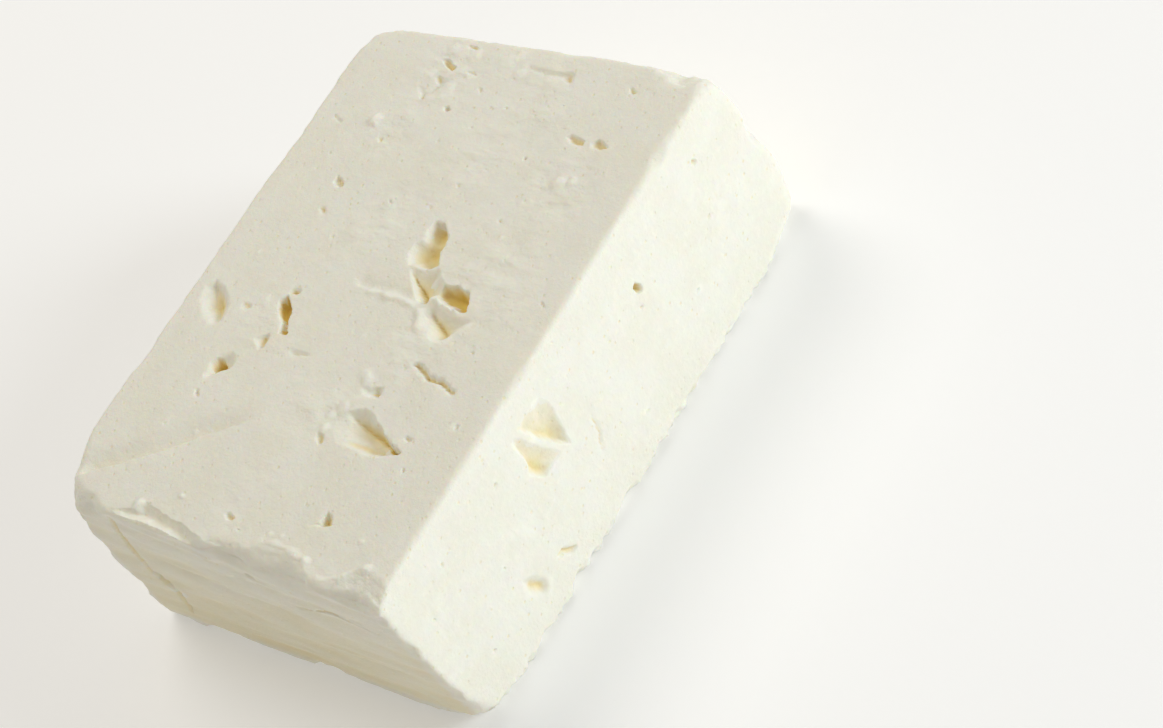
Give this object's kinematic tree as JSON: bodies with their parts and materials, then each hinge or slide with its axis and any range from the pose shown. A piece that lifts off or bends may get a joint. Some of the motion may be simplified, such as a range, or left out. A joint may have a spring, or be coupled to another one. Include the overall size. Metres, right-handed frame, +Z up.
{
  "type": "fresh white cheese block",
  "caption": "Rectangular slab of fresh white brined cheese lying on its broad face, with crumbly openings between the curds, knife-cut sides and worn corners.",
  "frame": {"origin": "middle of the base that the slab rests on", "axes": "+Z up through the thickness, +Y along the length, +X across the width"},
  "size_m": [0.0694, 0.0932, 0.0322],
  "materials": {
    "curd": "moist matte ivory-white curd, slightly translucent, yellowish in the deep openings"
  },
  "bodies": {
    "root": {"cheese_block": "curd"}
  },
  "joints": []
}
